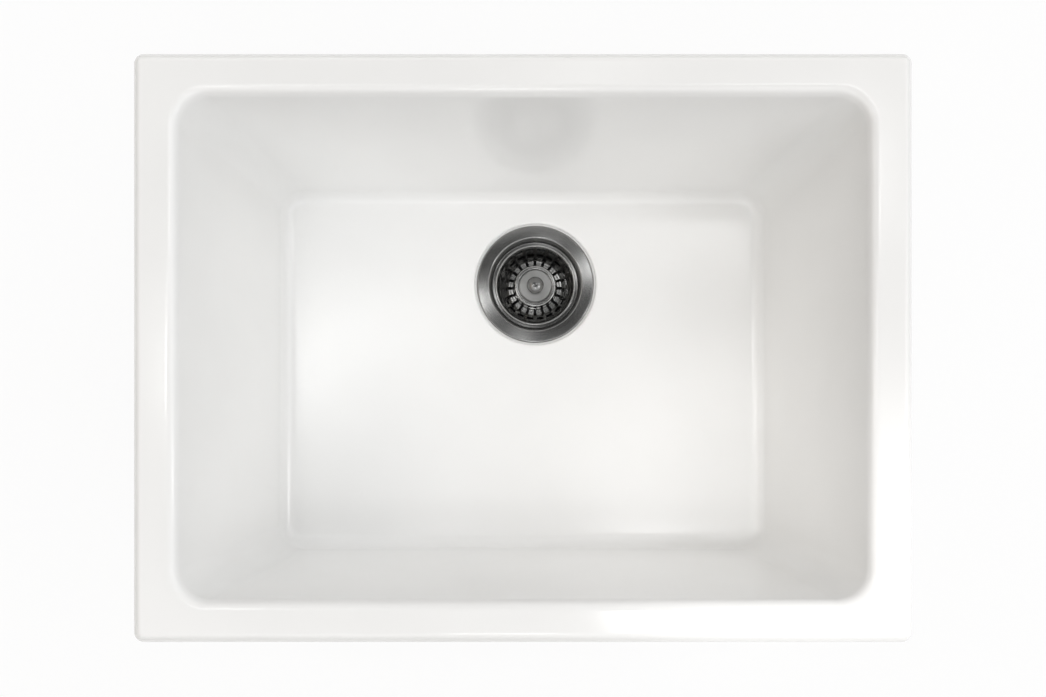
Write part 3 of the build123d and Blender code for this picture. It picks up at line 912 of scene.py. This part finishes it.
def nut_mesh():
    """Hexagon nut: a turned blank with chamfered ends and six flats."""
    size = sizes("plunger")
    beyond = size.nut_flat / cos(pi / 6) - size.nut_flat
    end = size.nut_top + size.nut_height
    chamfer = [complex(size.nut_flat + out, out * tan(pi / 6)) for out in arc(0, beyond, 4)]
    upper = [complex(0, size.nut_top) + point for point in chamfer]
    lower = [complex(0, end) + point.conjugate() for point in reversed(chamfer)]
    bore = [complex(size.nut_bore, end), complex(size.nut_bore, size.nut_top)]
    bm = spun(upper + lower + bore + upper[:1], steps=STEPS // 2)
    for vert in bm.verts:
        turn, radius = polar(vert.co)
        flat = size.nut_flat / cos(remainder(turn, tau / 6))
        vert.co = at_angle(turn, min(radius, flat), vert.co.z)
    return sound(bm)


def lamp(name, kind, place, target, power, **settings):
    """Lamp of a kind that faces a point."""
    made = added(name, tuned(bpy.data.lights.new(name, kind), energy=power, **settings))
    made.location = place
    made.rotation_euler = (Vector(target) - Vector(place)).to_track_quat("-Z", "Y").to_euler()


def seen(graph):
    """One for rays that show a surface or the sky: those from the camera, and those by gloss or glass."""
    path = graph.node("ShaderNodeLightPath").socket.node
    names = ("Is Camera Ray", "Is Glossy Ray", "Is Transmission Ray")
    camera, gloss, glass = [Wire(graph, path.outputs[name]) for name in names]
    return (camera + gloss + glass).math("MINIMUM", 1.0)


def studio_floor():
    """White floor that keeps a faint shadow."""
    graph = Graph.material("studio_floor")
    white = graph.node("ShaderNodeEmission", {"Color": (1, 1, 1), "Strength": 1.0})
    paint = graph.node("ShaderNodeBsdfDiffuse", {"Color": (0.95, 0.95, 0.95)})
    material = graph.surface(graph.node("ShaderNodeMixShader", {0: seen(graph) * 0.88, 1: paint, 2: white}))
    size = sizes("stage")
    bm = bmesh.new()
    bmesh.ops.create_grid(bm, x_segments=1, y_segments=1, size=size.floor_reach)
    bmesh.ops.translate(bm, verts=bm.verts, vec=(0, 0, cad_bounds[0][2] - size.floor_gap))
    floor = shaped("studio_floor", bm, material)


def mirrored_view():
    """Direction that the flat flange mirrors into the camera."""
    size = sizes("stage")
    return Vector((WASTE.x, WASTE.y - size.camera_y, size.camera_z - WASTE.z)).normalized()


def bank(x, y, heading):
    """Bank of light at a heading and opposite to it, from 0 to 1."""
    along = x * cos(heading) + y * sin(heading)
    return (along * along / (x * x + y * y + 0.0001)).math("POWER", BANK_SHARPNESS)


def studio_sky():
    """Soft light from high up, with the dark patch and the narrow banks that the flat steel mirrors."""
    world = bpy.data.worlds.new("studio_sky")
    bpy.context.scene.world = world
    world.use_nodes = True
    graph = Graph(world.node_tree)
    size = sizes("stage")
    towards = graph.node("ShaderNodeTexCoord", output="Generated")
    x, y, z = graph.parts(towards)
    rising = graph.steps(z, [(0.15, 0.06), (0.5, 0.35), (0.75, 0.77), (0.9, 1.0)])
    uneven = (rising + TO_RIGHT * x + TO_BACK * y).math("MAXIMUM", 0.0)
    view = mirrored_view()
    near = x * view.x + y * view.y + z * view.z
    patch = graph.steps(near, [(PATCH[0], 1.0), (PATCH[1], size.patch)])
    inner = graph.steps(near, [(INNER[0], 0.0), (INNER[1], 1.0)])
    warm = graph.steps(x * 0.5 + 0.5, [(0.08, size.left_tint), (0.3, (1, 1, 1))])
    right = x - view.x
    back = y - view.y
    banks = bank(right, back, size.long_bank) + SHORT_SHARE * bank(right, back, size.short_bank)
    light = uneven * patch * size.sky + inner * banks * size.banks
    dome = graph.node("ShaderNodeBackground", {"Color": warm, "Strength": light})
    white = graph.node("ShaderNodeBackground", {"Color": (1, 1, 1), "Strength": 1.0})
    path = graph.node("ShaderNodeLightPath", output="Is Camera Ray")
    both = graph.node("ShaderNodeMixShader", {0: path, 1: dome, 2: white})
    graph.surface(both, "ShaderNodeOutputWorld")


def overhead_camera():
    """Camera straight above, in front of the middle, with its picture shifted back over the sink."""
    size = sizes("stage")
    data = bpy.data.cameras.new("overhead_camera")
    tuned(data, lens=size.lens, sensor_width=36, sensor_fit="HORIZONTAL", shift_y=size.shift)
    made = added("overhead_camera", data)
    made.location = (0, size.camera_y, size.camera_z)
    bpy.context.scene.camera = made


class SINK_OT_stage(Operator):
    """Sets up the white floor, the soft light, the lamps and the camera"""

    bl_idname = "sink.stage"
    bl_label = "Studio"

    def execute(self, context):
        context.scene.view_settings.view_transform = "Standard"
        studio_floor()
        studio_sky()
        size = sizes("stage")
        softboxes = [
            ("softbox_right", (0.84, -0.13, 0.85), (0, 0, -0.15), size.right_lamp, 0.15, 0.3),
            ("softbox_left", (-0.56, 0.06, 1.0), (0, 0, -0.2), size.left_lamp, 0.12, 0.12),
            ("softbox_front", (-0.03, -0.56, 1.1), (0, 0, -0.2), size.front_lamp, 0.25, 0.1),
        ]
        for name, place, target, power, width, height in softboxes:
            lamp(name, "AREA", place, target, power, shape="RECTANGLE", size=width, size_y=height)
        cone = {"spot_size": radians(16), "spot_blend": 1.0, "shadow_soft_size": 0.06}
        lamp("pool", "SPOT", (0.3, -0.4, 1.3), (0.2, -0.12, -0.2), size.pool, **cone)
        overhead_camera()
        return {"FINISHED"}


class SINK_OT_basin(Operator):
    """Models the fireclay basin and glazes it"""

    bl_idname = "sink.basin"
    bl_label = "Basin"

    def execute(self, context):
        piece("glazed_basin", basin_mesh(), glazed_fireclay(), "sink", "glazed_fireclay", "basin")
        return {"FINISHED"}


def dress(material, *nodes):
    """Gives a finish to pieces that keep the shape they have in the frame."""
    for node in nodes:
        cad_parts[node].material_slots[0].material = material


class SINK_OT_strainer(Operator):
    """Models the strainer's flange, well and cup, and the threaded outlet with its cross"""

    bl_idname = "sink.strainer"
    bl_label = "Strainer body"

    def execute(self, context):
        brushed = brushed_stainless()
        piece("strainer_shell", strainer_mesh(), brushed, "sink", "brushed_stainless", "strainer_body")
        piece("threaded_outlet", spud_mesh(), cast_brass(), "sink", "cast_brass", "outlet_spud")
        dress(brushed, "outlet_cross")
        return {"FINISHED"}


class SINK_OT_clamp(Operator):
    """Finishes the seal, the gasket, the fibre ring and the ring nut that clamp the strainer"""

    bl_idname = "sink.clamp"
    bl_label = "Seals and ring nut"

    def execute(self, context):
        colours = finishes()
        dress(moulded("grey_foam", colours.foam, 0.85, 2500, 0.12 * MM), "flange_seal")
        dress(moulded("black_rubber", colours.rubber, 0.55, 1800, 0.03 * MM), "under_gasket", "stopper")
        dress(moulded("fibre_board", colours.fibre, 0.8, 1500, 0.08 * MM), "friction_ring")
        dress(bpy.data.materials["cast_brass"], "locknut")
        return {"FINISHED"}


class SINK_OT_basket(Operator):
    """Models the perforated basket with its rolled rim, and finishes the guide and the ring in its hub"""

    bl_idname = "sink.basket"
    bl_label = "Basket"

    def execute(self, context):
        size = sizes("basket")
        bright = bright_stainless("bright_stainless", 0.12, finishes().bright_steel)
        made = piece("perforated_basket", basket_mesh(), bright, "basket", "bright_stainless", "basket_cup")
        wall = made.modifiers.new("Sheet", "SOLIDIFY")
        tuned(wall, thickness=size.sheet, offset=0, use_even_offset=True)
        edge = made.modifiers.new("Edges", "BEVEL")
        tuned(edge, width=size.edge, segments=2, limit_method="ANGLE", angle_limit=radians(50))
        edge.harden_normals = True
        dress(bright, "detent_ring")
        dress(moulded("white_nylon", finishes().nylon, 0.4, 900, 0.01 * MM), "stem_guide")
        return {"FINISHED"}


class SINK_OT_plunger(Operator):
    """Models the cap, the knob, the threaded stem and its nut, and finishes the stopper's plates"""

    bl_idname = "sink.plunger"
    bl_label = "Knob and stopper"

    def execute(self, context):
        bright = bpy.data.materials["bright_stainless"]
        brass = bpy.data.materials["cast_brass"]
        satin = bright_stainless("satin_stainless", 0.26, finishes().bright_steel)
        # The knob's material takes the darker knob colour, painted shade in place of the dark reflections
        # round the knob.
        turned = bright_stainless("knob_painted_shade_stainless", 0.14, finishes().knob_painted_shade)
        piece("pressed_cap", cap_mesh(), satin, "plunger", "bright_stainless", "hub_cap")
        piece("domed_knob", knob_mesh(), turned, "plunger", "bright_stainless", "knob")
        piece("turned_stem", stem_mesh(), bright, "plunger", "bright_stainless", "stem")
        piece("hexagon_nut", nut_mesh(), brass, "plunger", "cast_brass", "stem_nut")
        dress(bright, "stopper_plate", "stopper_washer")
        return {"FINISHED"}


class SINK_PT_finish(Panel):
    """Lists the sink's sizes, its colours and the pieces that can be made"""

    bl_idname = "SINK_PT_finish"
    bl_label = "Fireclay Sink"
    bl_space_type = "VIEW_3D"
    bl_region_type = "UI"
    bl_category = "Sink"

    def draw(self, context):
        for group in groups:
            values = getattr(context.scene, group)
            box = self.layout.box()
            for name in values.__annotations__:
                box.prop(values, name)
        for operator in operators:
            self.layout.operator(operator.bl_idname)


groups = {
    "sink_basin": SinkBasinSizes,
    "sink_strainer": SinkStrainerSizes,
    "sink_basket": SinkBasketSizes,
    "sink_plunger": SinkPlungerSizes,
    "sink_finishes": SinkFinishes,
    "sink_stage": SinkStageSizes,
}
operators = [SINK_OT_stage, SINK_OT_basin, SINK_OT_strainer, SINK_OT_clamp, SINK_OT_basket, SINK_OT_plunger]
classes = [*groups.values(), *operators, SINK_PT_finish]


def register():
    for cls in classes:
        bpy.utils.register_class(cls)
    for name, group in groups.items():
        setattr(bpy.types.Scene, name, PointerProperty(type=group))


def unregister():
    for name in groups:
        delattr(bpy.types.Scene, name)
    for cls in reversed(classes):
        bpy.utils.unregister_class(cls)


def main():
    """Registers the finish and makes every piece."""
    register()
    bpy.ops.sink.stage()
    bpy.ops.sink.basin()
    bpy.ops.sink.strainer()
    bpy.ops.sink.clamp()
    bpy.ops.sink.basket()
    bpy.ops.sink.plunger()


if __name__ == "__main__":
    main()
